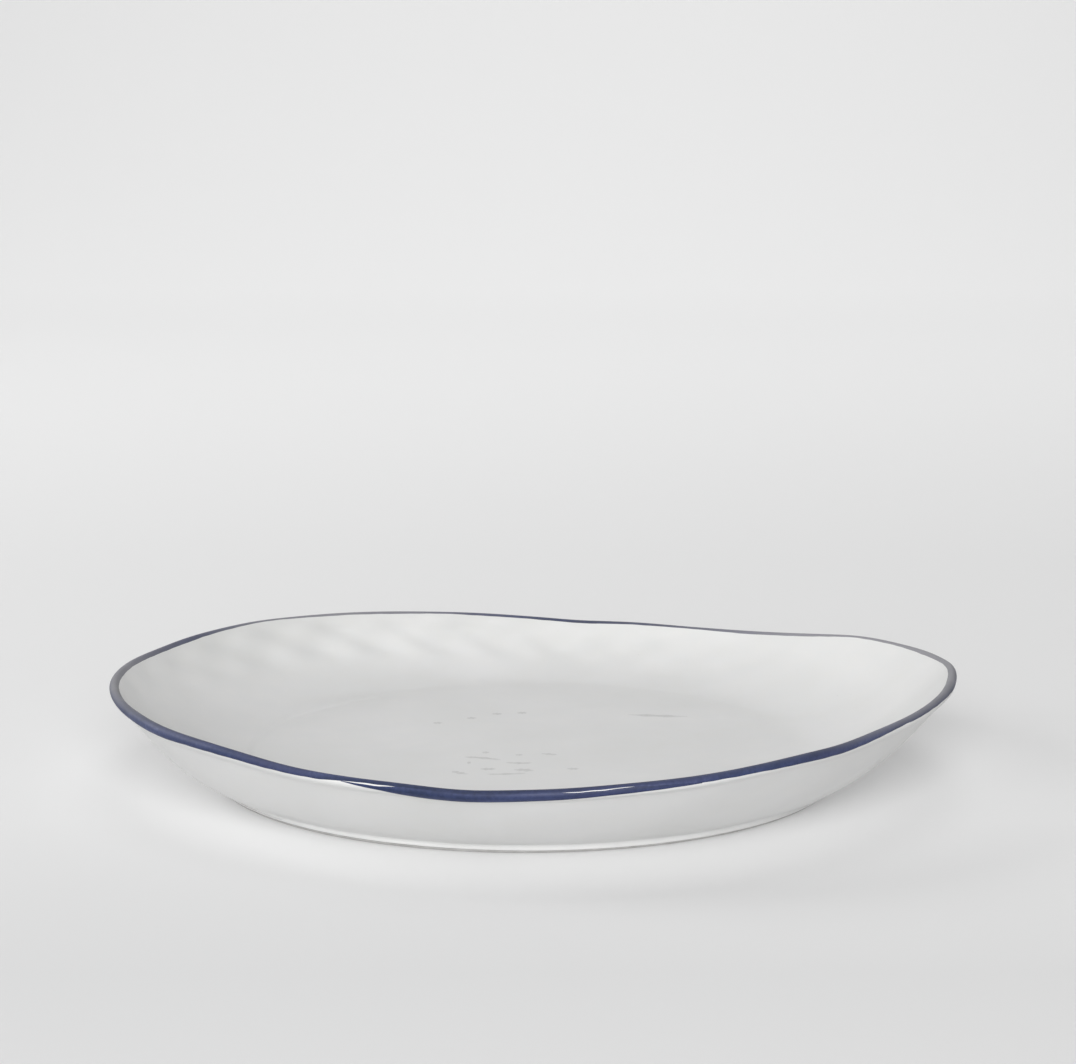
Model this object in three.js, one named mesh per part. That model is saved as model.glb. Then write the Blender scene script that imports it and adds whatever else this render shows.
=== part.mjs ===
// A round serving platter of hand-formed porcelain: a flat floor in a swaying curved wall, on a low foot ring,
// glazed white all over but for the foot's standing face, with a cobalt blue band brushed round the lip.
// Millimetres, +Z up. The foot stands on z = 0, and the origin is the middle of the platter's outline.
import * as THREE from "three";

// The rim: the centre line of the rounded lip, measured from the axis of the foot ring.
const RIM_RADIUS = 173.3; // mean radius
const RIM_HEIGHT = 36.7; // mean height
const LIP_RADIUS = 1.55; // half the lip's thickness

// The hand-formed rim isn't a true circle. Each sway is a number of waves round the rim, how far it moves the
// lip, and the direction in degrees from +X of one of its crests.
const SWAYS_OUT = [
  { waves: 1, by: 2.6, crest: 6 },
  { waves: 2, by: 1.8, crest: -30 },
  { waves: 3, by: 2.2, crest: 32 },
  { waves: 4, by: 0.7, crest: 23 },
  { waves: 5, by: 1.2, crest: -8 },
];
const SWAYS_UP = [
  { waves: 1, by: 3.6, crest: -88 },
  { waves: 2, by: 4.6, crest: -12 },
  { waves: 3, by: 1.4, crest: -13 },
  { waves: 4, by: 1.1, crest: 24 },
];

// The floor and the foot.
const FLOOR_RADIUS = 116;
const FLOOR_HEIGHT = 10.1; // of the glazed floor, above the table
const BASE_HEIGHT = 5.4; // of the underside of the clay inside the foot
const FOOT_RADIUS = 129.7; // outside, where the foot stands
const FOOT_WIDTH = 6.5;
const FOOT_EDGE = 0.8; // of the chamfers beside the standing face
const FOOT_LEAN = 0.4; // how far the foot's outside leans out towards its top
const FOOT_OUTER_HEIGHT = 3.6;
const SHOULDER = 1.9; // of the chamfer that meets the wall, at the foot's outer top edge

// The wall's two curves, from the floor and from the foot up to the lip.
const WALL_START_SLOPE = 14; // degrees, of the outer wall just above the foot
const LIP_STEEPNESS = 1.35; // slope of the wall at the lip, as a multiple of the outer wall's mean slope
const PULL = 0.33; // length of the curves' handles, as a share of the wall's own length
const FLOOR_PULL = 0.25; // the same, for the handle that lies along the floor

// The coats.
const GLAZE = 0.4; // thickness of each glaze and of the blue band
const GAP = 0.3; // between a coat and the clay, and between neighbouring coats
const CLAY_DEPTH = GLAZE + GAP; // of the clay below the glazed surface
const BAND_DROP = 1.5; // mean length of the band down the outer wall, below the lip
const BAND_WAVER = { waves: 2, by: 0.8, crest: 95 }; // the brush dips lower on the front and the back

// How finely the surfaces are divided.
const STEPS_ROUND = 72;
const WALL_STEPS = 7;
const LIP_STEPS = 5;
const BAND_STEPS = 2;

const radians = THREE.MathUtils.degToRad;
const sway = ({ waves, by, crest }, angle) => by * Math.cos(waves * (angle - radians(crest)));
const swayed = (mean, sways, angle) => sways.reduce((sum, s) => sum + sway(s, angle), mean);
const unit = (angle) => new THREE.Vector2(Math.cos(angle), Math.sin(angle));

// The section of the glazed surface at an angle round the platter, in (radius, height): the lip's centre, the
// slope of the wall there, and the inner and outer curves, both running on from the floor over the lip to the foot.
function sectionAt(angle) {
  const lip = new THREE.Vector2(swayed(RIM_RADIUS, SWAYS_OUT, angle), swayed(RIM_HEIGHT, SWAYS_UP, angle));
  const foot = new THREE.Vector2(FOOT_RADIUS + FOOT_LEAN, FOOT_OUTER_HEIGHT + GAP);
  const floor = new THREE.Vector2(FLOOR_RADIUS, FLOOR_HEIGHT);
  const slope = Math.atan2(LIP_STEEPNESS * (lip.y - foot.y), lip.x - foot.x);
  const along = unit(slope);
  const lipInside = unit(slope + Math.PI / 2).multiplyScalar(LIP_RADIUS).add(lip);
  const lipOutside = unit(slope - Math.PI / 2).multiplyScalar(LIP_RADIUS).add(lip);
  const innerLength = lipInside.distanceTo(floor);
  const outerLength = lipOutside.distanceTo(foot);
  const inner = new THREE.CubicBezierCurve(
    floor,
    floor.clone().add(new THREE.Vector2(FLOOR_PULL * innerLength, 0)),
    lipInside.clone().addScaledVector(along, -PULL * innerLength),
    lipInside,
  );
  const outer = new THREE.CubicBezierCurve(
    lipOutside,
    lipOutside.clone().addScaledVector(along, -PULL * outerLength),
    foot.clone().addScaledVector(unit(radians(WALL_START_SLOPE)), PULL * outerLength),
    foot,
  );
  return { lip, slope, inner, outer };
}

// Samples of a curve between two distances along it: the point, and the direction out of the china there.
function stretch(curve, from, to, steps) {
  const length = curve.getLength();
  return Array.from({ length: steps + 1 }, (_, step) => {
    const share = THREE.MathUtils.lerp(from, to, step / steps) / length;
    const along = curve.getTangentAt(share);
    return { point: curve.getPointAt(share), out: new THREE.Vector2(-along.y, along.x) };
  });
}

// Samples round the lip, from its inside to its outside, without the two ends that the wall's curves share.
function lipArc({ lip, slope }) {
  return Array.from({ length: LIP_STEPS - 1 }, (_, step) => {
    const out = unit(slope + Math.PI * (0.5 - (step + 1) / LIP_STEPS));
    return { point: out.clone().multiplyScalar(LIP_RADIUS).add(lip), out };
  });
}

const atDepth = (samples, depth) => samples.map(({ point, out }) => point.clone().addScaledVector(out, -depth));

// The outline of a coat: its surface, and back again underneath.
const coat = (samples) => [...samples.map(({ point }) => point), ...atDepth(samples, GLAZE).reverse()];

// A closed solid from an outline for each angle round the platter's axis. An outline closes on itself, or starts
// and ends on the axis, where all the angles share one point.
function solidRound(outlineAt, onAxis) {
  const outlines = Array.from({ length: STEPS_ROUND }, (_, step) => {
    const angle = (2 * Math.PI * step) / STEPS_ROUND;
    return outlineAt(angle).map(({ x, y }) => [x * Math.cos(angle), x * Math.sin(angle), y]);
  });
  const size = outlines[0].length;
  const index = (step, place) => {
    const shared = onAxis && (place === 0 || place === size - 1);
    return (shared ? 0 : step % STEPS_ROUND) * size + (place % size);
  };
  const faces = [];
  for (let step = 0; step < STEPS_ROUND; step++) {
    for (let place = 0; place < (onAxis ? size - 1 : size); place++) {
      const [a, b] = [index(step, place), index(step, place + 1)];
      const [c, d] = [index(step + 1, place + 1), index(step + 1, place)];
      if (a !== d) faces.push(a, c, d);
      if (b !== c) faces.push(a, b, c);
    }
  }
  const geometry = new THREE.BufferGeometry();
  geometry.setAttribute("position", new THREE.Float32BufferAttribute(outlines.flat(2), 3));
  geometry.setIndex(faces);
  geometry.computeVertexNormals();
  return geometry;
}

// The clay: floor, wall and lip in one, under the coats.
function bodyOutline(angle) {
  const section = sectionAt(angle);
  const surface = [
    ...stretch(section.inner, 0, section.inner.getLength(), WALL_STEPS),
    ...lipArc(section),
    ...stretch(section.outer, 0, section.outer.getLength(), WALL_STEPS),
  ];
  return [
    new THREE.Vector2(0, FLOOR_HEIGHT - CLAY_DEPTH),
    ...atDepth(surface, CLAY_DEPTH),
    new THREE.Vector2(FOOT_RADIUS + FOOT_LEAN - SHOULDER, BASE_HEIGHT),
    new THREE.Vector2(0, BASE_HEIGHT),
  ];
}

// The foot: flat where it stands, chamfered on both sides of that, with a leaning outside.
function footOutline() {
  const inside = FOOT_RADIUS - FOOT_WIDTH;
  const outside = FOOT_RADIUS + FOOT_LEAN;
  const top = BASE_HEIGHT - GAP;
  return [
    new THREE.Vector2(inside, top),
    new THREE.Vector2(outside - SHOULDER, top),
    new THREE.Vector2(outside, FOOT_OUTER_HEIGHT),
    new THREE.Vector2(FOOT_RADIUS, FOOT_EDGE),
    new THREE.Vector2(FOOT_RADIUS - FOOT_EDGE, 0),
    new THREE.Vector2(inside + FOOT_EDGE, 0),
    new THREE.Vector2(inside, FOOT_EDGE),
  ];
}

// The glaze inside: the whole floor and the inner wall, up to the band.
function insideGlazeOutline(angle) {
  const { inner } = sectionAt(angle);
  const wall = stretch(inner, 0, inner.getLength() - GAP, WALL_STEPS);
  return [new THREE.Vector2(0, FLOOR_HEIGHT), ...coat(wall), new THREE.Vector2(0, FLOOR_HEIGHT - GLAZE)];
}

const bandDrop = (angle) => BAND_DROP + sway(BAND_WAVER, angle);

// The blue band: over the lip from its inside, and down the outer wall.
function bandOutline(angle) {
  const section = sectionAt(angle);
  const { inner, outer } = section;
  const inside = stretch(inner, inner.getLength(), inner.getLength(), 1).slice(1);
  return coat([...inside, ...lipArc(section), ...stretch(outer, 0, bandDrop(angle), BAND_STEPS)]);
}

// The glaze outside: the outer wall, from the band to the foot.
function outsideGlazeOutline(angle) {
  const { outer } = sectionAt(angle);
  return coat(stretch(outer, bandDrop(angle) + GAP, outer.getLength(), WALL_STEPS));
}

// The glaze under the floor, inside the foot.
function baseGlazeOutline() {
  const radius = FOOT_RADIUS - FOOT_WIDTH - GAP;
  const top = BASE_HEIGHT - GAP;
  return [
    new THREE.Vector2(0, top),
    new THREE.Vector2(radius, top),
    new THREE.Vector2(radius, top - GLAZE),
    new THREE.Vector2(0, top - GLAZE),
  ];
}

const whiteGlaze = () => new THREE.MeshStandardMaterial({ color: 0xe6e6e3, roughness: 0.12, metalness: 0 });
const cobaltBlue = () => new THREE.MeshStandardMaterial({ color: 0x35436e, roughness: 0.15, metalness: 0 });
const firedClay = () => new THREE.MeshStandardMaterial({ color: 0xdcd9d2, roughness: 0.6, metalness: 0 });

function piece(name, outlineAt, onAxis, material) {
  const mesh = new THREE.Mesh(solidRound(outlineAt, onAxis), material);
  mesh.name = name;
  return mesh;
}

const onFootAxis = new THREE.Group();
onFootAxis.add(
  piece("body", bodyOutline, true, firedClay()),
  piece("foot_ring", footOutline, false, firedClay()),
  piece("inside_glaze", insideGlazeOutline, true, whiteGlaze()),
  piece("outside_glaze", outsideGlazeOutline, false, whiteGlaze()),
  piece("base_glaze", baseGlazeOutline, true, whiteGlaze()),
  piece("rim_band", bandOutline, false, cobaltBlue()),
);

// The swaying rim isn't centred on the foot: the middle of its outline becomes the origin.
const middle = new THREE.Box3().setFromObject(onFootAxis).getCenter(new THREE.Vector3());
onFootAxis.position.set(-middle.x, -middle.y, 0);

const platter = new THREE.Group();
platter.add(onFootAxis);

export default platter;
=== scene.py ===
"""A round serving platter of hand-formed white porcelain with a brushed cobalt rim, on a pale sweep.

Every surface is made about the axis of the foot ring, in millimetres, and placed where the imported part
has it.
"""

import math

import bpy
import numpy as np
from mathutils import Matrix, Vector


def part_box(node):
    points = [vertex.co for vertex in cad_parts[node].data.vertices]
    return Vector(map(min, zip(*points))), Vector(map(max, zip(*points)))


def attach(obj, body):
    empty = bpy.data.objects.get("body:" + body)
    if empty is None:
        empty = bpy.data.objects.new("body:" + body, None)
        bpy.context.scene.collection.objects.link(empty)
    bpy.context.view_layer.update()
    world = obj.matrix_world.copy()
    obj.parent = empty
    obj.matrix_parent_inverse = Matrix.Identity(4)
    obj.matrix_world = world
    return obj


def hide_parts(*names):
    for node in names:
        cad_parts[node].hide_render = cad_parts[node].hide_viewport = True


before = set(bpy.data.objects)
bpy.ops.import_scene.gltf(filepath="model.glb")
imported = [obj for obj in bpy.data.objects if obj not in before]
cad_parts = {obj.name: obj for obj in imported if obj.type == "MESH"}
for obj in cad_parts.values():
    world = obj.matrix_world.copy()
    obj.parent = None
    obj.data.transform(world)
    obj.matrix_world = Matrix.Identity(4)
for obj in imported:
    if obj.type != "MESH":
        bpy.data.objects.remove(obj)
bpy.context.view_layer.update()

MM = 0.001
FULL_TURN = 2 * math.pi
STEPS_ROUND = 576  # 18 to each dimple of the wall

# ---- the platter's sizes, in millimetres and degrees -----------------------------------------------------
RIM_RADIUS, RIM_HEIGHT, LIP_RADIUS = 173.3, 36.7, 1.55
# The rim's slow sways: how many round the rim, how far, and the direction of a crest.
SWAYS_OUT = ((1, 2.6, 6), (2, 1.8, -30), (3, 2.2, 32), (4, 0.7, 23), (5, 1.2, -8))
SWAYS_UP = ((1, 3.6, -88), (2, 4.6, -12), (3, 1.4, -13), (4, 1.1, 24))
RIM_LIFTS = (  # the rim's finer unevenness: where in degrees, how far the lip lifts there, and its reach
    (346, 1.35, 11), (1, 0.45, 5), (32, 0.8, 8), (52, -0.45, 10), (72, 0.45, 6), (82, -0.25, 4),
    (97, 0.35, 8), (135, 0.35, 6), (158, -0.75, 9), (199, -0.6, 8), (213, -0.95, 9), (239, -0.55, 7),
    (254, 0.25, 5), (263, -0.45, 5), (282, 0.4, 7), (313, -0.7, 6),
)
RIM_PULLS = ((352, -0.9, 6.5),)  # the same, outwards
FLOOR_RADIUS, FLOOR_HEIGHT, BASE_HEIGHT = 116.0, 10.1, 5.4
FOOT_RADIUS, FOOT_WIDTH, FOOT_TOP = 129.7, 6.5, 3.6
WALL_FOOT = np.array([130.1, 3.9])  # where the outer wall meets the foot
WALL_START_SLOPE = math.radians(14)
LIP_STEEPNESS = 1.35  # slope of the wall at the lip, as a multiple of the outer wall's mean slope
PULL, FLOOR_PULL = 0.33, 0.25  # lengths of the curves' handles, as shares of the wall's own length
FLANK = 130.7  # radius of the glaze on the foot's outside
FILLET, FILLET_MIDDLE = 2.2, 2.33  # where the wall runs into that flank: radius, and height of its centre
WALL_LEFT = 3.2  # length of the wall that the fillet takes the place of
FLANK_ROLL, FLANK_ROLL_MIDDLE = 0.8, 2.05  # the glaze's rolled lower edge: radius, and height of its centre
FLANK_BACK = ((129.86, 1.8), (129.98, 2.2), (130.05, 3.0), (130.1, 3.62))  # the glaze's back, on the foot
CLAY_SHOULDER = 128.2  # radius where the clay under the wall meets its flat underside
FOOT_SIDE = ((129.3, 4.3), (129.95, FOOT_TOP), (129.9, 2.0))  # the foot's outside, from the top down
FOOT_OUTER_ROUND, FOOT_OUTER_MIDDLE = 1.75, 127.9  # its rounded lower edge: radius, and its middle's
FOOT_INNER_ROUND = 1.1  # radius of its rounded lower edge on the inside
GAP = 0.3  # between the clay under the floor and the coat below it, or the foot
GLAZE = 0.35  # thickness of the white coats
BASE_GLAZE = 0.44  # thickness of the coat under the floor
CLAY_DEPTH = 0.45  # of the clay under the glazed surface
CAP_RADIUS = 46  # inside this the round surfaces are closed by rings with fewer and fewer points

# ---- the hand's marks in the clay ------------------------------------------------------------------------
DIMPLES_ROUND = 32
DIMPLE_ROWS = (  # how far below the lip, reach, stagger, depth, where they are deepest, in degrees
    (7.0, 5.0, 0.0, 0.55, 122), (21.0, 6.5, 0.5, 0.50, 102),
)
DIMPLE_CREST = 111.2  # degrees
DIMPLE_LEAN = 0.25  # radians of their spacing, over each row's reach
FAINTEST_DIMPLE = 0.12  # share of a row's depth that is left where its dimples are shallowest
LIP_BULGE, LIP_BULGE_AT, LIP_BULGE_REACH = 0.65, 4.5, 2.2
# Uneven waves: how many round the rim, how high, how much they slant with the way along, and their phase.
BULGE_WAVES = ((5, 0.22, 0.0, 0.7), (11, 0.15, 0.0, 2.1))  # shares of the bulge
INNER_WALL_WAVES = ((7, 0.16, 0.09, 0.5), (13, 0.12, -0.06, 2.0))
OUTER_WALL_WAVES = ((6, 0.14, 0.05, 1.3), (17, 0.10, 0.1, 0.0))
LIP_WAVES = ((9, 0.05, 0.0, 1.0),)
FLANK_WAVES = ((3, 0.10, 0.0, 0.4), (8, 0.07, 0.0, 1.9), (23, 0.04, 0.0, 0.0))
FOOT_WEAR = ((12, 0.05, 0.0, 0.8), (29, 0.04, 0.0, 2.0), (53, 0.03, 0.0, 0.0))
BASE_EDGE_WAVES = ((7, 0.08, 0.0, 0.3), (19, 0.05, 0.0, 1.2))
SHORT_GLAZE, SHORT_GLAZE_AT = 0.25, 205  # how much higher the flank's glaze ends on one side, and where
FLOOR_SWELL, FLOOR_RIPPLE = 0.10, 0.06
FLOOR_DIP, DIP_REACH = 0.75, 12.0  # how deep the floor's dip is, and how far in it reaches
DEEPEST_DIP, FAINTEST_DIP = 176, 0.12  # the direction where it is deepest, and the share left elsewhere

# ---- the painted band: degrees, and how far it reaches from the lip's top, inwards and down the outside ---
BAND_INSIDE = (
    (0, 2.0), (14, 2.3), (24, 1.6), (34, 1.5), (44, 2.2), (54, 2.3), (64, 1.5), (72, 1.7), (80, 2.1),
    (90, 1.9), (98, 1.9), (104, 1.5), (112, 1.8), (122, 1.7), (133, 1.2), (140, 1.7), (150, 2.5),
    (165, 2.6), (180, 2.7), (200, 2.3), (240, 1.8), (300, 1.8), (340, 2.2),
)
BAND_OUTSIDE = (
    (0, 3.3), (30, 3.6), (80, 4.2), (120, 3.8), (160, 4.4), (185, 4.9), (207, 5.4), (213, 4.8), (220, 3.8),
    (228, 3.6), (236, 3.2), (243, 2.9), (247, 2.2), (250, 1.9), (255, 2.2), (262, 2.4), (272, 2.1),
    (282, 1.8), (286, 2.6), (290, 3.1), (297, 3.2), (309, 3.8), (318, 3.3), (326, 2.5), (340, 2.7),
)
PAINTED_SHEEN = (  # painted reflection: how far the paint over the lip is made grey, standing in for the pale surroundings mirrored in it
    (0, 0.9), (15, 0.95), (45, 0.9), (60, 0.55), (70, 0.3), (85, 0.15), (98, 0.3), (108, 0.75), (120, 0.9),
    (135, 0.7), (148, 0.25), (160, 0.4), (172, 0.75), (190, 0.85), (200, 0.5), (212, 0.25), (225, 0.1),
    (270, 0.05), (310, 0.15), (318, 0.4), (328, 0.6), (340, 0.75), (350, 0.85),
)
TOUCH_UP = (  # the second stroke: angle, its upper edge past the first one's lower edge, its lower edge
    (246.6, -0.05, 2.45), (248.2, 0.20, 2.9), (250.2, 0.44, 3.4), (252.2, 0.34, 4.0), (253.6, 0.1, 4.7),
    (255.0, -0.45, 5.3), (258.0, -0.6, 6.2), (262.5, -0.5, 6.0), (268.0, -0.5, 5.5), (272.8, -0.35, 4.9),
    (275.0, 0.08, 4.6), (278.5, 0.19, 4.1), (282.0, 0.10, 3.8), (283.8, -0.3, 3.6), (288.0, -0.6, 3.4),
    (291.0, -0.3, 3.2),
)


def ripple(waves, angle, along=0.0):
    """How high a sum of waves round the rim stands, somewhere along the wall."""
    return sum(by * np.cos(count * angle + slant * along + phase) for count, by, slant, phase in waves)


def swayed(mean, sways, angle):
    return mean + sum(by * np.cos(n * (angle - math.radians(crest))) for n, by, crest in sways)


def unit(angle):
    return np.stack([np.cos(angle), np.sin(angle)], -1)


def smoothstep(low, high, value):
    share = np.clip((value - low) / (high - low), 0, 1)
    return share * share * (3 - 2 * share)


def bump_at(value, middle, reach):
    return np.exp(-(((value - middle) / reach) ** 2))


def bumps_round(bumps, angles):
    """Lifts and dips round the rim."""
    degrees = np.degrees(angles)
    return sum(by * bump_at((degrees - place + 180) % 360, 180, reach) for place, by, reach in bumps)


def round_the_rim(knots, angles):
    """A smooth closed run through (degrees, value) knots, at angles in radians."""
    at = np.radians([k[0] for k in knots])
    values = np.array([k[1] for k in knots])
    at = np.concatenate([at - FULL_TURN, at, at + FULL_TURN])
    values = np.tile(values, 3)
    fine = np.linspace(-0.5, FULL_TURN + 0.5, 4000)
    run = np.interp(fine, at, values)
    width = 25
    kernel = np.hanning(width) / np.hanning(width).sum()
    run = np.convolve(run, kernel, "same")
    return np.interp(angles % FULL_TURN, fine, run)


class Curve:
    """A cubic Bezier curve in the section plane for each angle, sampled by distance."""

    def __init__(self, controls):
        self.controls = controls
        self.shares = np.linspace(0, 1, 201)
        points = self._point(np.broadcast_to(self.shares, (len(controls), 201)))
        steps = np.linalg.norm(np.diff(points, axis=1), axis=2)
        self.run = np.concatenate([np.zeros((len(controls), 1)), np.cumsum(steps, 1)], 1)
        self.length = self.run[:, -1:]

    def _point(self, t):
        t, c = t[..., None], self.controls[:, None]
        return (
            (1 - t) ** 3 * c[..., 0, :] + 3 * (1 - t) ** 2 * t * c[..., 1, :]
            + 3 * (1 - t) * t * t * c[..., 2, :] + t**3 * c[..., 3, :]
        )

    def _along(self, t):
        t, c = t[..., None], self.controls[:, None]
        d = (
            (1 - t) ** 2 * (c[..., 1, :] - c[..., 0, :]) + 2 * (1 - t) * t * (c[..., 2, :] - c[..., 1, :])
            + t * t * (c[..., 3, :] - c[..., 2, :])
        )
        return d / np.linalg.norm(d, axis=2, keepdims=True)

    def at(self, distance):
        """Points and outward directions at distances along the curve, one row for each angle."""
        distance = np.clip(distance, 0, self.length)
        t = np.stack([np.interp(d, run, self.shares) for d, run in zip(distance, self.run)])
        along = self._along(t)
        return self._point(t), np.stack([-along[..., 1], along[..., 0]], -1)


class Sections:
    """The glazed outline at each angle. A place on it is its distance from the lip's top, outwards."""

    def __init__(self, angles):
        self.angles = angles
        radius = swayed(RIM_RADIUS, SWAYS_OUT, angles) + bumps_round(RIM_PULLS, angles)
        height = swayed(RIM_HEIGHT, SWAYS_UP, angles) + bumps_round(RIM_LIFTS, angles)
        lip = np.stack([radius, height], -1)
        rise = lip - WALL_FOOT
        slope = np.arctan2(LIP_STEEPNESS * rise[:, 1], rise[:, 0])
        along = unit(slope)
        inside = lip + LIP_RADIUS * unit(slope + math.pi / 2)
        outside = lip + LIP_RADIUS * unit(slope - math.pi / 2)
        floor = np.broadcast_to([FLOOR_RADIUS, FLOOR_HEIGHT], lip.shape)
        foot = np.broadcast_to(WALL_FOOT, lip.shape)
        inner = np.linalg.norm(inside - floor, axis=1)[:, None]
        outer = np.linalg.norm(outside - foot, axis=1)[:, None]
        level = np.array([1.0, 0.0])
        self.lip = lip
        self.inner = Curve(np.stack(
            [floor, floor + FLOOR_PULL * inner * level, inside - PULL * inner * along, inside], 1))
        self.outer = Curve(np.stack(
            [outside, outside - PULL * outer * along, foot + PULL * outer * unit(WALL_START_SLOPE), foot], 1))
        self.lip_inside = (LIP_RADIUS * slope)[:, None]
        self.lip_outside = (LIP_RADIUS * (math.pi - slope))[:, None]
        self.floor_edge = -self.lip_inside - self.inner.length
        self.foot_edge = self.lip_outside + self.outer.length

    def bare(self, place):
        out = unit(math.pi / 2 - place / LIP_RADIUS)  # round the lip
        points = self.lip[:, None] + LIP_RADIUS * out
        inner, inner_out = self.inner.at(self.inner.length + place + self.lip_inside)
        outer, outer_out = self.outer.at(place - self.lip_outside)
        on_inner = (place < -self.lip_inside)[..., None]
        on_outer = (place > self.lip_outside)[..., None]
        points = np.where(on_inner, inner, np.where(on_outer, outer, points))
        return points, np.where(on_inner, inner_out, np.where(on_outer, outer_out, out))

    def relief(self, place):
        """How far the hand-formed surface stands out of the even one."""
        angle = self.angles[:, None]
        down = -place - self.lip_inside  # the inner wall, below the lip
        height = LIP_BULGE * bump_at(place, LIP_BULGE_AT, LIP_BULGE_REACH) * (place > -3)
        height = height * (1 + ripple(BULGE_WAVES, angle))
        turned = DIMPLES_ROUND * (angle - math.radians(DIMPLE_CREST)) + 0.5 * np.sin(3 * angle + 1.0)
        for below, reach, stagger, depth, deepest in DIMPLE_ROWS:
            near = bump_at(np.cos(angle - math.radians(deepest)), 1.0, 0.42)
            strength = FAINTEST_DIMPLE + (1 - FAINTEST_DIMPLE) * near
            row = np.cos(turned + FULL_TURN * stagger + DIMPLE_LEAN * (down - below) / reach)
            height = height - depth * strength * row * bump_at(down, below, reach) * smoothstep(0, 5, down)
        wall = smoothstep(0, 8, down) * smoothstep(0, 10, -self.floor_edge + place)
        fading = np.cos(0.11 * down + 0.4 * np.sin(2 * angle))
        height = height + wall * ripple(INNER_WALL_WAVES, angle, down) * fading
        below = place - self.lip_outside  # the outer wall
        wall = smoothstep(2, 12, below) * smoothstep(0, 8, self.foot_edge - place)
        height = height + wall * ripple(OUTER_WALL_WAVES, angle, below)
        return height + ripple(LIP_WAVES, angle) * bump_at(place, 0, 2.5)

    def at(self, place, depth=0.0):
        """Points on the surface, or at a depth under it."""
        points, out = self.bare(place)
        return points + out * (self.relief(place) - depth)[..., None]


def floor_rise(x, y):
    """The glazed floor's height above its even plane."""
    swell = FLOOR_SWELL * np.sin(x / 33 + 0.6) * np.sin(y / 41 + 1.1)
    swell = swell + FLOOR_RIPPLE * np.sin(x / 17 - y / 23 + 0.4)
    return swell * smoothstep(FLOOR_RADIUS, FLOOR_RADIUS - 30, np.hypot(x, y))


def floor_dip(radius, angle):
    """The floor sinks a little towards its edge, most of all on the left, where it shows as a crease."""
    left = smoothstep(0.45, 0.97, np.cos(angle - math.radians(DEEPEST_DIP)))
    inside = np.maximum(FLOOR_RADIUS + 1.0 - radius, 0)
    share = FAINTEST_DIP + (1 - FAINTEST_DIP) * left
    return -FLOOR_DIP * share * bump_at(inside, 0, DIP_REACH) * smoothstep(0, 3.5, inside)


def glazed_floor(x, y):
    """Height of the glazed floor, short of its dip towards the edge."""
    return FLOOR_HEIGHT + floor_rise(x, y)


# ---- mesh making -----------------------------------------------------------------------------------------
foot_low, foot_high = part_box("foot_ring")
AXIS = np.array([(foot_low.x + foot_high.x) / 2, (foot_low.y + foot_high.y) / 2, foot_low.z])


def make_object(name, points, faces, values=None):
    """A smooth-shaded mesh of points in millimetres about the foot's axis."""
    mesh = bpy.data.meshes.new(name)
    mesh.from_pydata((np.asarray(points) * MM + AXIS).tolist(), [], faces)
    for key, data in (values or {}).items():
        attribute = mesh.attributes.new(key, "FLOAT", "POINT")
        attribute.data.foreach_set("value", np.asarray(data, np.float32).ravel())
    mesh.polygons.foreach_set("use_smooth", [True] * len(mesh.polygons))
    mesh.update()
    piece = bpy.data.objects.new(name, mesh)
    bpy.context.scene.collection.objects.link(piece)
    return piece


def spun(angles, outline):
    """Outlines of (radius, height) for each angle, as points in space."""
    c, s = np.cos(angles)[:, None], np.sin(angles)[:, None]
    return np.stack([outline[..., 0] * c, outline[..., 0] * s, outline[..., 1]], -1)


def band_faces(steps, places, round_closed, outline_closed):
    """Quads between neighbouring outlines, facing out when an outline runs inside, over the lip and down."""
    faces = []
    for i in range(steps if round_closed else steps - 1):
        j = (i + 1) % steps
        for k in range(places if outline_closed else places - 1):
            m = (k + 1) % places
            faces.append((i * places + k, i * places + m, j * places + m, j * places + k))
    return faces


def add_cap(points, faces, ring, height_at, flip):
    """Closes a ring of points round the axis: rings with a third or half as many points, then one point."""
    def add(face):
        faces.append(tuple(reversed(face)) if flip else tuple(face))

    radius = math.hypot(*points[ring[0]][:2])
    while len(ring) > 24:
        fewer = len(ring) // 3 if len(ring) % 3 == 0 else len(ring) // 2
        ratio = len(ring) // fewer
        radius *= 0.62 if ratio == 3 else 0.7
        start = len(points)
        for i in range(fewer):
            angle = FULL_TURN * i / fewer
            x, y = radius * math.cos(angle), radius * math.sin(angle)
            points.append((x, y, height_at(x, y)))
        for i in range(fewer):
            a, b = start + i, start + (i + 1) % fewer
            outer = [ring[(i * ratio + k) % len(ring)] for k in range(ratio + 1)]
            middle = (ratio + 1) // 2
            for k in range(ratio):
                add((outer[k], outer[k + 1], a if k < middle else b))
            add((outer[middle], b, a))
        ring = list(range(start, start + fewer))
    points.append((0.0, 0.0, height_at(0.0, 0.0)))
    for i in range(len(ring)):
        add((ring[i], ring[(i + 1) % len(ring)], len(points) - 1))


turn = FULL_TURN * np.arange(STEPS_ROUND) / STEPS_ROUND
sections = Sections(turn)


def lerp_places(start, end, shares):
    return start + (end - start) * np.asarray(shares)[None, :]


def arc(middle, radius, start, end, steps):
    """Points of (radius, height) on an arc between two directions in degrees."""
    return np.array(middle) + radius * unit(np.radians(np.linspace(start, end, steps)))


def rings(*stretches):
    """The same outline at every angle, from points and runs of points."""
    outline = np.concatenate([np.atleast_2d(stretch) for stretch in stretches]).astype(float)
    return np.repeat(outline[None], STEPS_ROUND, 0)


def floor_rings(radii, depth):
    """Rings of the glazed floor, or of a surface below it."""
    x, y = radii[None, :] * np.cos(turn)[:, None], radii[None, :] * np.sin(turn)[:, None]
    height = glazed_floor(x, y) - depth + floor_dip(radii[None, :], turn[:, None])
    return np.stack([np.broadcast_to(radii, height.shape), height], -1)


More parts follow.
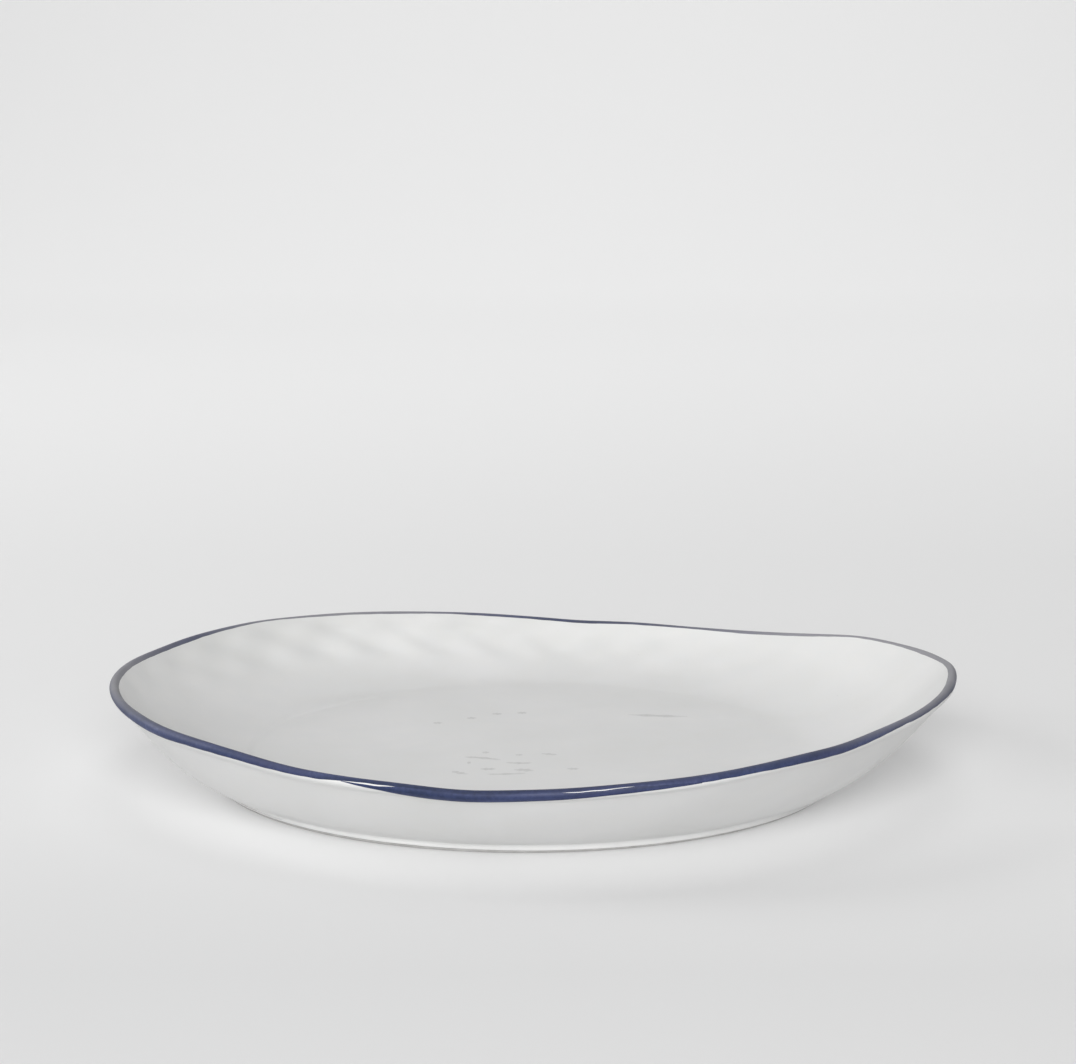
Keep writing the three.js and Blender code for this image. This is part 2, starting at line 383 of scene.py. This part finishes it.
def capped(name, outline, upper, lower):
    """A solid whose outlines start on an upper ring and end on a lower one, both closed over the axis."""
    places = outline.shape[1]
    points = [tuple(p) for p in spun(turn, outline).reshape(-1, 3)]
    faces = band_faces(STEPS_ROUND, places, True, False)
    starts = [i * places for i in range(STEPS_ROUND)]
    ends = [i * places + places - 1 for i in range(STEPS_ROUND)]
    add_cap(points, faces, starts, upper, False)
    add_cap(points, faces, ends, lower, True)
    return make_object(name, points, faces)


def build_inside_glaze():
    """The coat over the floor and the inner wall, up to the lip's top under the paint."""
    wall = sections.floor_edge
    near_lip = -sections.lip_inside - 3
    over = lerp_places(wall, near_lip, np.linspace(0, 1, 53))
    lip = lerp_places(near_lip, 0.6, np.linspace(0, 1, 16)[1:])
    radii = np.concatenate([np.linspace(CAP_RADIUS, 100, 8), np.linspace(103, 115, 7)])
    back = np.concatenate([lip[:, ::-3], lerp_places(near_lip, wall, np.linspace(0, 1, 22)[1:])], 1)
    outline = np.concatenate(
        [floor_rings(radii, 0), sections.at(over), sections.at(lip), sections.at(back, GLAZE),
         floor_rings(np.array([115, 109, 103, 80, CAP_RADIUS]), GLAZE)], 1)
    return capped("inside_glaze_fine", outline, glazed_floor, lambda x, y: glazed_floor(x, y) - GLAZE)


def build_clay():
    """Floor, wall and lip in one, under the coats."""
    wall = sections.floor_edge
    over = lerp_places(wall, -sections.lip_inside, np.linspace(0, 1, 36))
    lip = lerp_places(-sections.lip_inside, sections.lip_outside, np.linspace(0, 1, 14)[1:])
    down = lerp_places(sections.lip_outside, sections.foot_edge, np.linspace(0, 1, 26)[1:])
    radii = np.concatenate([np.linspace(CAP_RADIUS, 100, 5), np.linspace(103, 115, 4)])
    low = BASE_HEIGHT + 0.02
    outline = np.concatenate(
        [floor_rings(radii, CLAY_DEPTH)] + [sections.at(p, CLAY_DEPTH) for p in (over, lip, down)]
        + [rings((CLAY_SHOULDER, low), (100, low), (CAP_RADIUS, low))], 1)
    return capped("fired_clay", outline, lambda x, y: glazed_floor(x, y) - CLAY_DEPTH, lambda x, y: low)


def build_outside_glaze():
    """The coat from the lip's top, under the paint, down to its rolled edge above the foot's dry face."""
    end = sections.foot_edge - WALL_LEFT
    below_bulge = sections.lip_outside + 6
    lip = lerp_places(-0.6 + 0 * end, sections.lip_outside, np.linspace(0, 1, 15))
    bulge = lerp_places(sections.lip_outside, below_bulge, np.linspace(0, 1, 13)[1:])
    wall = lerp_places(below_bulge, end, np.linspace(0, 1, 40)[1:])
    places = np.concatenate([lip, bulge, wall], 1)
    fillet = arc((FLANK + FILLET, FILLET_MIDDLE), FILLET, 104, 180, 7)
    roll = arc((FLANK - FLANK_ROLL, FLANK_ROLL_MIDDLE), FLANK_ROLL, 0, -90, 6)
    flank = rings(fillet, roll)
    wobble = ripple(FLANK_WAVES, turn)
    flank[..., 0] += wobble[:, None] * np.linspace(0.1, 1, flank.shape[1])
    short = SHORT_GLAZE * np.clip(np.cos(turn - math.radians(SHORT_GLAZE_AT)), 0, 1)
    flank[:, len(fillet):, 1] += (0.6 * wobble + short)[:, None]
    back = rings(FLANK_BACK)
    outline = np.concatenate([sections.at(places), flank, back, sections.at(places[:, ::-3], GLAZE)], 1)
    points = spun(turn, outline).reshape(-1, 3)
    return make_object("outside_glaze_fine", points, band_faces(STEPS_ROUND, outline.shape[1], True, True))


def build_foot():
    """The dry foot ring, rounded on both sides of the face it stands on, and worn along the outer edge."""
    inside = FOOT_RADIUS - FOOT_WIDTH
    top = BASE_HEIGHT - GAP
    outline = rings(
        (inside, top), (CLAY_SHOULDER, top), FOOT_SIDE,
        arc((FOOT_OUTER_MIDDLE, FOOT_OUTER_ROUND), FOOT_OUTER_ROUND, -15, -90, 6),
        arc((inside + FOOT_INNER_ROUND, FOOT_INNER_ROUND), FOOT_INNER_ROUND, -90, -180, 5))
    worn = (outline[..., 1] < 1.0) & (outline[..., 0] > 128.4)
    outline[..., 0] += np.where(worn, ripple(FOOT_WEAR, turn)[:, None], 0)
    points = spun(turn, outline).reshape(-1, 3)
    return make_object("standing_ring", points, band_faces(STEPS_ROUND, outline.shape[1], True, True))


def build_base_glaze():
    """The coat under the floor, and down the foot's inside to a rounded lower edge."""
    top, under = BASE_HEIGHT - GAP, BASE_HEIGHT - GAP - BASE_GLAZE
    edge = FOOT_RADIUS - FOOT_WIDTH - 0.08
    half, edge_height, fillet = 0.15, 1.1, 0.7  # the lower edge's radius and height, and the inner corner's
    inner = edge - 2 * half
    outline = rings(
        (CAP_RADIUS, top), (80, top), (110, top), (edge, top),
        arc((edge - half, edge_height), half, 0, -180, 5),
        arc((inner - fillet, under - fillet), fillet, 0, 90, 5),
        (110, under), (80, under), (CAP_RADIUS, under))
    lower_edge = outline[..., 1] < 2
    outline[..., 1] += np.where(lower_edge, ripple(BASE_EDGE_WAVES, turn)[:, None], 0)
    return capped("base_glaze_fine", outline, lambda x, y: top, lambda x, y: under)


# ---- the brushed band ------------------------------------------------------------------------------------
PAINT = 0.05  # how far the paint stands out of the glaze
STROKE_ROWS = 24
FEATHER = 0.16  # width over which a stroke's edge thins out
SUNK = 0.12  # how far a stroke's underside lies under the glazed surface
BRISTLES = (17, 26, 41, 63, 88, 131)  # waves round the rim that make an edge waver
STREAKS = (3, 5, 9, 14, 23, 37, 58)  # waves round the rim that make the paint streaky
INNER_SEED, OUTER_SEED, TOUCH_UP_SEED = 3, 4, 6  # of the edges' wanders
LONG_SEED, SHORT_SEED = 11, 12  # of the strokes' streaks


def ragged(angles, seed, size):
    """A hand-brushed edge: small uneven wanders round the rim."""
    draw = np.random.default_rng(seed)
    wander = sum(
        draw.uniform(0.3, 1.0) * np.cos(n * angles + draw.uniform(0, FULL_TURN)) for n in BRISTLES
    )
    return size * wander / 3


def streaks(angles, across, seed):
    """How thickly the paint lies: long brush streaks that drift across the stroke."""
    draw = np.random.default_rng(seed)
    load = np.zeros(np.broadcast(angles, across).shape)
    for n in STREAKS:
        phase = draw.uniform(0, FULL_TURN) + draw.uniform(2, 9) * across
        load = load + draw.uniform(0.5, 1.0) / n**0.35 * np.cos(n * angles + phase)
    return np.clip(0.62 + 0.14 * load, 0, 1)


def build_stroke(name, angles, upper, lower, proud, seed, closed):
    """A film of paint between two edges, thinner at the edges and sunk into the glaze underneath."""
    ring = Sections(angles)
    upper, width = upper[:, None], (lower - upper)[:, None]
    feather = np.minimum(FEATHER, 0.3 * width)
    shares = np.linspace(0, 1, STROKE_ROWS)[None, :]
    top = np.concatenate(
        [upper + 0 * feather, upper + 0.5 * feather, upper + feather + (width - 2 * feather) * shares,
         upper + width - 0.5 * feather, upper + width], 1)
    lift = np.ones(top.shape[1])
    lift[[0, -1]] = -0.6
    lift[[1, -2]] = 0.55
    under = top[:, ::-3]
    outline = np.concatenate([ring.at(top, -proud * lift[None, :]), ring.at(under, SUNK)], 1)
    load = streaks(angles[:, None], (top - upper) / width, seed)
    load = np.concatenate([load, load[:, ::-3]], 1)
    places = outline.shape[1]
    faces = band_faces(len(angles), places, closed, True)
    if not closed:
        faces.append(tuple(reversed(range(places))))
        faces.append(tuple(range((len(angles) - 1) * places, len(angles) * places)))
    place = np.concatenate([top, under], 1)
    # painted reflection: the grey share over the lip, fading out down the outside
    grey = round_the_rim(PAINTED_SHEEN, angles)[:, None] * smoothstep(3.5, 0.5, place)
    points = spun(angles, outline).reshape(-1, 3)
    return make_object(name, points, faces, {"load": load, "painted_sheen": grey})


def lower_edge(angles):
    """Of the long stroke, outside."""
    return round_the_rim(BAND_OUTSIDE, angles) + ragged(angles, OUTER_SEED, 0.10)


def build_band():
    """The long stroke all the way round, and the short one that touches up the front below it."""
    upper = -round_the_rim(BAND_INSIDE, turn) + ragged(turn, INNER_SEED, 0.12)
    long = build_stroke("brush_stroke_long", turn, upper, lower_edge(turn), PAINT, LONG_SEED, True)
    knots = np.array(TOUCH_UP)
    angles = np.radians(np.arange(knots[0, 0], knots[-1, 0], 0.2))
    kernel = np.hanning(9) / np.hanning(9).sum()

    def run(column):
        values = np.interp(np.degrees(angles), knots[:, 0], knots[:, column])
        return np.convolve(np.pad(values, 4, "edge"), kernel, "valid")

    upper = lower_edge(angles) + run(1)
    lower = np.maximum(run(2) + ragged(angles, TOUCH_UP_SEED, 0.06), upper + 0.12)
    short = build_stroke("brush_stroke_short", angles, upper, lower, PAINT * 1.5, SHORT_SEED, False)
    return long, short


# ---- shallow scuffs on the floor -------------------------------------------------------------------------
SCUFF_RISE, SCUFF_EDGE, SCUFF_UNDERSIDE = 0.035, -0.01, -0.05  # from the floor's own height
SCUFFS = (  # middle x, y from the foot's axis, length, width, turn in degrees, bend
    (-17.0, -12.0, 3.4, 2.6, 0, 0.0), (-18.0, -22.0, 17.0, 2.6, -20, -0.05),
    (-3.0, -30.0, 11.5, 2.4, -4, 0.08), (-23.5, -29.5, 1.8, 3.0, 0, 0.0),
    (-15.5, -40.0, 6.9, 2.8, 0, 0.06), (-1.0, -42.0, 8.7, 3.4, -11, -0.05),
    (-27.0, -46.0, 9.0, 2.6, -40, 0.06), (-3.0, -16.5, 3.4, 2.2, 0, 0.0),
    (-8.0, -48.0, 17.0, 2.2, 6, 0.04), (9.5, -15.5, 7.5, 2.4, -20, 0.0),
    (19.0, -39.5, 5.4, 2.4, 0, 0.0), (57.0, 54.0, 27.0, 3.4, -8, 0.03),
    (-38.5, 41.0, 4.6, 2.8, 12, 0.0), (-24.0, 50.0, 4.8, 2.8, 20, 0.0), (-13.0, 58.0, 4.8, 3.0, 4, 0.0),
    (-2.0, 60.0, 4.6, 3.0, 10, 0.0),
)


def build_scuff(index, x, y, length, width, turned, bend):
    """A lens-shaped film of duller glaze, a few hundredths of a millimetre proud of the floor."""
    along, across = np.meshgrid(np.linspace(-1, 1, 33), np.linspace(-1, 1, 9), indexing="ij")
    ends = np.sqrt(np.clip(1.02 - along**2, 0, None))
    half = 0.75 * width * ends * (1 + 0.25 * np.sin(9 * along + index))
    u = along * length / 2
    v = across * half + bend * length * (along**2 - 0.5)
    c, s = math.cos(math.radians(turned)), math.sin(math.radians(turned))
    px, py = x + c * u - s * v, y + s * u + c * v
    worn = np.sqrt(np.clip((1 - across**2) * np.clip(1.04 - along**2, 0, 1), 0, 1))
    base = glazed_floor(px, py) + floor_dip(np.hypot(px, py), np.arctan2(py, px))
    top = np.stack([px, py, base + SCUFF_EDGE + SCUFF_RISE * worn], -1)
    low = np.stack([px, py, base + SCUFF_UNDERSIDE], -1)
    rows, columns = along.shape
    points = np.concatenate([top.reshape(-1, 3), low.reshape(-1, 3)])
    faces, below = [], rows * columns
    for i in range(rows - 1):
        for k in range(columns - 1):
            a, b = i * columns + k, (i + 1) * columns + k
            faces.append((a, b, b + 1, a + 1))
            faces.append((below + a + 1, below + b + 1, below + b, below + a))
    grid = np.arange(rows * columns).reshape(rows, columns)
    border = np.concatenate([grid[:, 0], grid[-1, 1:], grid[-2::-1, -1], grid[0, -2:0:-1]]).tolist()
    for i, a in enumerate(border):
        b = border[(i + 1) % len(border)]
        faces.append((a, below + a, below + b, b))
    return make_object(f"floor_scuff_{index + 1}", points, faces, {"worn": np.tile(worn.ravel(), 2)})


# ---- materials -------------------------------------------------------------------------------------------
class Shader:
    """A node material with one Principled shader, laid out in the piece's own coordinates, in metres."""

    def __init__(self, name, **settings):
        self.material = bpy.data.materials.new(name)
        self.material.use_nodes = True
        self.tree = self.material.node_tree
        self.principled = self.tree.nodes["Principled BSDF"]
        for key, value in settings.items():
            self.principled.inputs[key.replace("_", " ")].default_value = value
        self.where = self.tree.nodes.new("ShaderNodeTexCoord").outputs["Object"]

    def link(self, source, target):
        self.tree.links.new(source, target)

    def attribute(self, name):
        node = self.tree.nodes.new("ShaderNodeAttribute")
        node.attribute_name = name
        return node.outputs["Fac"]

    def noise(self, size_mm, detail=2.0, roughness=0.5, distortion=0.0):
        node = self.tree.nodes.new("ShaderNodeTexNoise")
        node.inputs["Scale"].default_value = 1000 / size_mm
        node.inputs["Detail"].default_value = detail
        node.inputs["Roughness"].default_value = roughness
        node.inputs["Distortion"].default_value = distortion
        self.link(self.where, node.inputs["Vector"])
        return node.outputs["Fac"]

    def split(self):
        node = self.tree.nodes.new("ShaderNodeSeparateXYZ")
        self.link(self.where, node.inputs[0])
        return node.outputs

    def math(self, operation, *values):
        node = self.tree.nodes.new("ShaderNodeMath")
        node.operation = operation
        for slot, value in zip(node.inputs, values):
            if isinstance(value, (int, float)):
                slot.default_value = value
            else:
                self.link(value, slot)
        return node.outputs["Value"]

    def ramp(self, source, *stops):
        node = self.tree.nodes.new("ShaderNodeValToRGB")
        elements = node.color_ramp.elements
        while len(elements) < len(stops):
            elements.new(0.5)
        for element, (position, colour) in zip(elements, stops):
            element.position = position
            element.color = (*colour, 1) if len(colour) == 3 else colour
        self.link(source, node.inputs["Fac"])
        return node.outputs["Color"]

    def span(self, source, from_low, from_high, to_low, to_high):
        node = self.tree.nodes.new("ShaderNodeMapRange")
        ends = {"From Min": from_low, "From Max": from_high, "To Min": to_low, "To Max": to_high}
        for slot, value in ends.items():
            node.inputs[slot].default_value = value
        self.link(source, node.inputs["Value"])
        return node.outputs["Result"]

    def mix(self, share, first, second, blend="MIX"):
        node = self.tree.nodes.new("ShaderNodeMix")
        node.data_type, node.blend_type = "RGBA", blend
        for slot, value in ((node.inputs[0], share), (node.inputs[6], first), (node.inputs[7], second)):
            if isinstance(value, (int, float)):
                slot.default_value = value
            elif isinstance(value, tuple):
                slot.default_value = (*value, 1)
            else:
                self.link(value, slot)
        return node.outputs[2]

    def bump(self, height, distance_mm, strength=1.0):
        node = self.tree.nodes.new("ShaderNodeBump")
        node.inputs["Distance"].default_value = distance_mm * MM
        node.inputs["Strength"].default_value = strength
        self.link(height, node.inputs["Height"])
        self.link(node.outputs["Normal"], self.principled.inputs["Normal"])

    def colour(self, source):
        self.link(source, self.principled.inputs["Base Color"])

    def roughness(self, source):
        self.link(source, self.principled.inputs["Roughness"])


def white_glaze(name, wall_painted_light):
    """The clear glaze over white porcelain, with painted light: lighter up the inner wall, and lighter low on
    the foot as a painted reflection of the pale floor.
    """
    s = Shader(name, IOR=1.5)
    pool = s.ramp(s.noise(70, 3, 0.5, 0.6), (0.3, (0.640, 0.642, 0.632)), (0.7, (0.690, 0.688, 0.684)))
    cast = s.mix(s.span(s.noise(9, 2), 0.35, 0.65, 0, 0.35), pool, (0.655, 0.662, 0.668))
    height = s.split()[2]
    if wall_painted_light:
        # painted light: the glaze is made lighter high up the inner wall
        painted_light_share, by = s.span(height, 0.013, 0.027, 0, 1), (1.075, 1.075, 1.07)
    else:
        # painted reflection of the pale floor: the glaze is made lighter low on the foot
        painted_light_share, by = s.span(height, 0.0044, 0.0034, 0, 1), (1.13, 1.13, 1.13)
    cast = s.mix(painted_light_share, cast, s.mix(1.0, cast, by, "MULTIPLY"))
    speck = s.span(s.noise(1.1, 1, 0.5), 0.80, 0.84, 0, 0.35)
    s.colour(s.mix(speck, cast, (0.33, 0.31, 0.29)))
    s.roughness(s.span(s.noise(24, 3), 0.3, 0.7, 0.34, 0.42))
    s.bump(s.math("ADD", s.noise(5, 2), s.math("MULTIPLY", s.noise(1.4, 1), 0.25)), 0.035, 0.6)
    return s.material


def cobalt_paint():
    """Cobalt blue, darker where it lies thick, drifting to violet, and grey over the lip as a painted
    reflection.
    """
    s = Shader("cobalt_underglaze", IOR=1.5, Specular_IOR_Level=0.3)
    load = s.attribute("load")
    grain = s.math("ADD", load, s.span(s.noise(1.6, 3, 0.6), 0.3, 0.7, -0.14, 0.14))
    blue = s.ramp(
        grain, (0.15, (0.088, 0.112, 0.230)), (0.45, (0.033, 0.047, 0.124)),
        (0.75, (0.016, 0.027, 0.076)), (1.0, (0.009, 0.016, 0.044)),
    )
    violet = s.mix(s.span(s.noise(45, 2), 0.4, 0.65, 0, 0.35), blue, (0.034, 0.036, 0.090))
    # painted reflection: grey mixed into the blue over the lip
    s.colour(s.mix(s.attribute("painted_sheen"), violet, (0.280, 0.278, 0.296)))
    s.roughness(s.span(s.noise(12, 2), 0.3, 0.7, 0.48, 0.58))
    s.bump(s.noise(3, 2), 0.02, 0.5)
    return s.material


def bare_clay(name, light, dark):
    """Unglazed porcelain."""
    s = Shader(name, IOR=1.45)
    s.colour(s.mix(s.span(s.noise(6, 4, 0.6), 0.35, 0.65, 0, 1), light, dark))
    s.roughness(s.span(s.noise(2, 3), 0.3, 0.7, 0.55, 0.78))
    s.bump(s.noise(0.6, 4, 0.7), 0.08, 0.8)
    return s.material


def scuffed_glaze():
    """The floor's glaze at a scuff's edges, duller and greyer in its middle."""
    s = Shader("scuffed_glaze", IOR=1.5)
    dull = s.ramp(s.noise(1.2, 3, 0.6), (0.3, (0.48, 0.48, 0.475)), (0.7, (0.57, 0.57, 0.565)))
    whole = s.mix(s.span(s.noise(9, 2), 0.35, 0.65, 0, 1), (0.668, 0.668, 0.662), (0.650, 0.654, 0.656))
    s.colour(s.mix(s.span(s.attribute("worn"), 0.2, 0.95, 0, 1), whole, dull))
    s.roughness(s.span(s.noise(0.8, 2), 0.3, 0.7, 0.32, 0.46))
    s.bump(s.noise(0.7, 3), 0.02, 0.3)
    return s.material


inner_glaze = white_glaze("inner_porcelain_glaze", True)
glaze = white_glaze("white_porcelain_glaze", False)
cobalt = cobalt_paint()
foot_clay = bare_clay("dry_foot", (0.52, 0.515, 0.505), (0.43, 0.425, 0.415))
body_clay = bare_clay("fired_body", (0.62, 0.61, 0.58), (0.54, 0.53, 0.50))
scuffed = scuffed_glaze()


def dress(piece, material, slot, *replaced):
    """Gives a piece its material, and lets it ride on the platter's one body. The slot is not used."""
    piece.data.materials.append(material)
    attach(piece, "root")
    if replaced:
        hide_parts(*replaced)


dress(build_inside_glaze(), inner_glaze, "white_glaze", "inside_glaze")
dress(build_outside_glaze(), glaze, "white_glaze", "outside_glaze")
dress(build_base_glaze(), glaze, "white_glaze", "base_glaze")
dress(build_clay(), body_clay, "clay", "body")
dress(build_foot(), foot_clay, "foot_clay", "foot_ring")
long_stroke, short_stroke = build_band()
dress(long_stroke, cobalt, "cobalt_blue", "rim_band")
dress(short_stroke, cobalt, "cobalt_blue")
for index, scuff in enumerate(SCUFFS):
    dress(build_scuff(index, *scuff), scuffed, "white_glaze")

# ---- the stage -------------------------------------------------------------------------------------------
FLOOR_HALF, SWEEP_START, SWEEP_RADIUS, SWEEP_TOP = 7.0, 1.9, 1.4, 5.0  # metres


def build_stage():
    """A sheet of pale paper that lies flat and sweeps up behind."""
    profile = [(-FLOOR_HALF, 0.0)] + [(y, 0.0) for y in np.linspace(-3, SWEEP_START, 20)]
    for a in np.linspace(0, math.pi / 2, 25)[1:]:
        profile.append((SWEEP_START + SWEEP_RADIUS * math.sin(a), SWEEP_RADIUS * (1 - math.cos(a))))
    profile.append((SWEEP_START + SWEEP_RADIUS, SWEEP_TOP))
    points = [(x, y, z) for y, z in profile for x in (-FLOOR_HALF, FLOOR_HALF)]
    faces = [(2 * i, 2 * i + 1, 2 * i + 3, 2 * i + 2) for i in range(len(profile) - 1)]
    mesh = bpy.data.meshes.new("sweep")
    mesh.from_pydata(points, [], faces)
    mesh.polygons.foreach_set("use_smooth", [True] * len(mesh.polygons))
    sweep = bpy.data.objects.new("sweep", mesh)
    bpy.context.scene.collection.objects.link(sweep)
    mesh.materials.append(pale_paper())


def pale_paper():
    """Paper with painted light and shade standing in for soft studio light: darker in front, paler beside the
    platter and a little to the right, palest where it sweeps up, and faintly glowing.
    """
    # the paper glows faintly: painted light that lifts the shadows
    s = Shader("pale_paper", Roughness=0.9, IOR=1.3, Emission_Color=(1, 1, 1, 1), Emission_Strength=0.20)
    across, back, _ = s.split()
    rightwards = s.span(across, -0.15, 0.25, 0, 1)
    # painted shade: the paper in front is darker
    near = s.ramp(s.noise(900, 1), (0.3, (0.505, 0.507, 0.509)), (0.7, (0.525, 0.526, 0.527)))
    near = s.mix(rightwards, near, (0.54, 0.54, 0.54))
    # painted light: paler beside the platter, where its shadow falls, and more so on the right
    beside = s.mix(rightwards, (0.60, 0.60, 0.60), (0.70, 0.70, 0.70))
    floor = s.mix(s.span(back, -0.27, -0.08, 0, 1), near, beside)
    floor = s.mix(s.span(back, -0.04, 0.10, 0, 1), floor, (0.61, 0.61, 0.61))
    # painted light: palest where the sweep starts to curve up
    far = s.mix(s.span(back, 2.1, 2.8, 0, 1), (0.705, 0.705, 0.705), (0.665, 0.665, 0.665))
    s.colour(s.mix(s.span(back, 0.5, 2.1, 0, 1), floor, far))
    return s.material


build_stage()

# ---- light -----------------------------------------------------------------------------------------------
PLATTER = (0, 0, 0.02)
LIGHTS = (  # name, place, what it points at, size in metres, power in watts
    ("fill_front", (0.05, -2.2, 1.0), PLATTER, 1.4, 58.5),
    ("front_left", (-1.7, -1.6, 0.8), PLATTER, 1.2, 6.0),
    ("soft_left", (-2.2, 0.6, 1.0), PLATTER, 1.4, 25.0),
    ("high_back", (0.2, 1.5, 2.4), PLATTER, 1.6, 6.5),
    ("backdrop", (0.3, 0.9, 2.5), (0.2, 3.4, 1.2), 1.6, 34.0),
)
WORLD_STRENGTH = 0.09


def build_lights():
    """Soft round lights, and a faint even glow from everywhere."""
    for name, place, aim, size, power in LIGHTS:
        data = bpy.data.lights.new(name, "AREA")
        data.shape, data.size, data.energy = "DISK", size, power
        lamp = bpy.data.objects.new(name, data)
        lamp.location = place
        lamp.rotation_euler = (Vector(aim) - Vector(place)).to_track_quat("-Z", "Y").to_euler()
        bpy.context.scene.collection.objects.link(lamp)
    world = bpy.data.worlds.new("studio")
    world.use_nodes = True
    back = world.node_tree.nodes["Background"]
    back.inputs["Color"].default_value = (1.0, 1.0, 1.0, 1)
    back.inputs["Strength"].default_value = WORLD_STRENGTH
    bpy.context.scene.world = world


build_lights()
bpy.context.scene.view_settings.view_transform = "Standard"

# ---- camera ----------------------------------------------------------------------------------------------
LENS, SENSOR = 100, 36  # millimetres
CAMERA_FROM_AXIS = (0.0019, -1.2211, 0.3106)  # metres, from the foot of the platter's axis
CAMERA_TILT, CAMERA_TURN = 80.26, -0.14  # degrees, from straight down and from straight ahead

camera_data = bpy.data.cameras.new("camera")
camera_data.lens, camera_data.sensor_width = LENS, SENSOR
camera = bpy.data.objects.new("camera", camera_data)
camera.location = Vector(AXIS) + Vector(CAMERA_FROM_AXIS)
camera.rotation_euler = (math.radians(CAMERA_TILT), 0, math.radians(CAMERA_TURN))
bpy.context.scene.collection.objects.link(camera)
bpy.context.scene.camera = camera
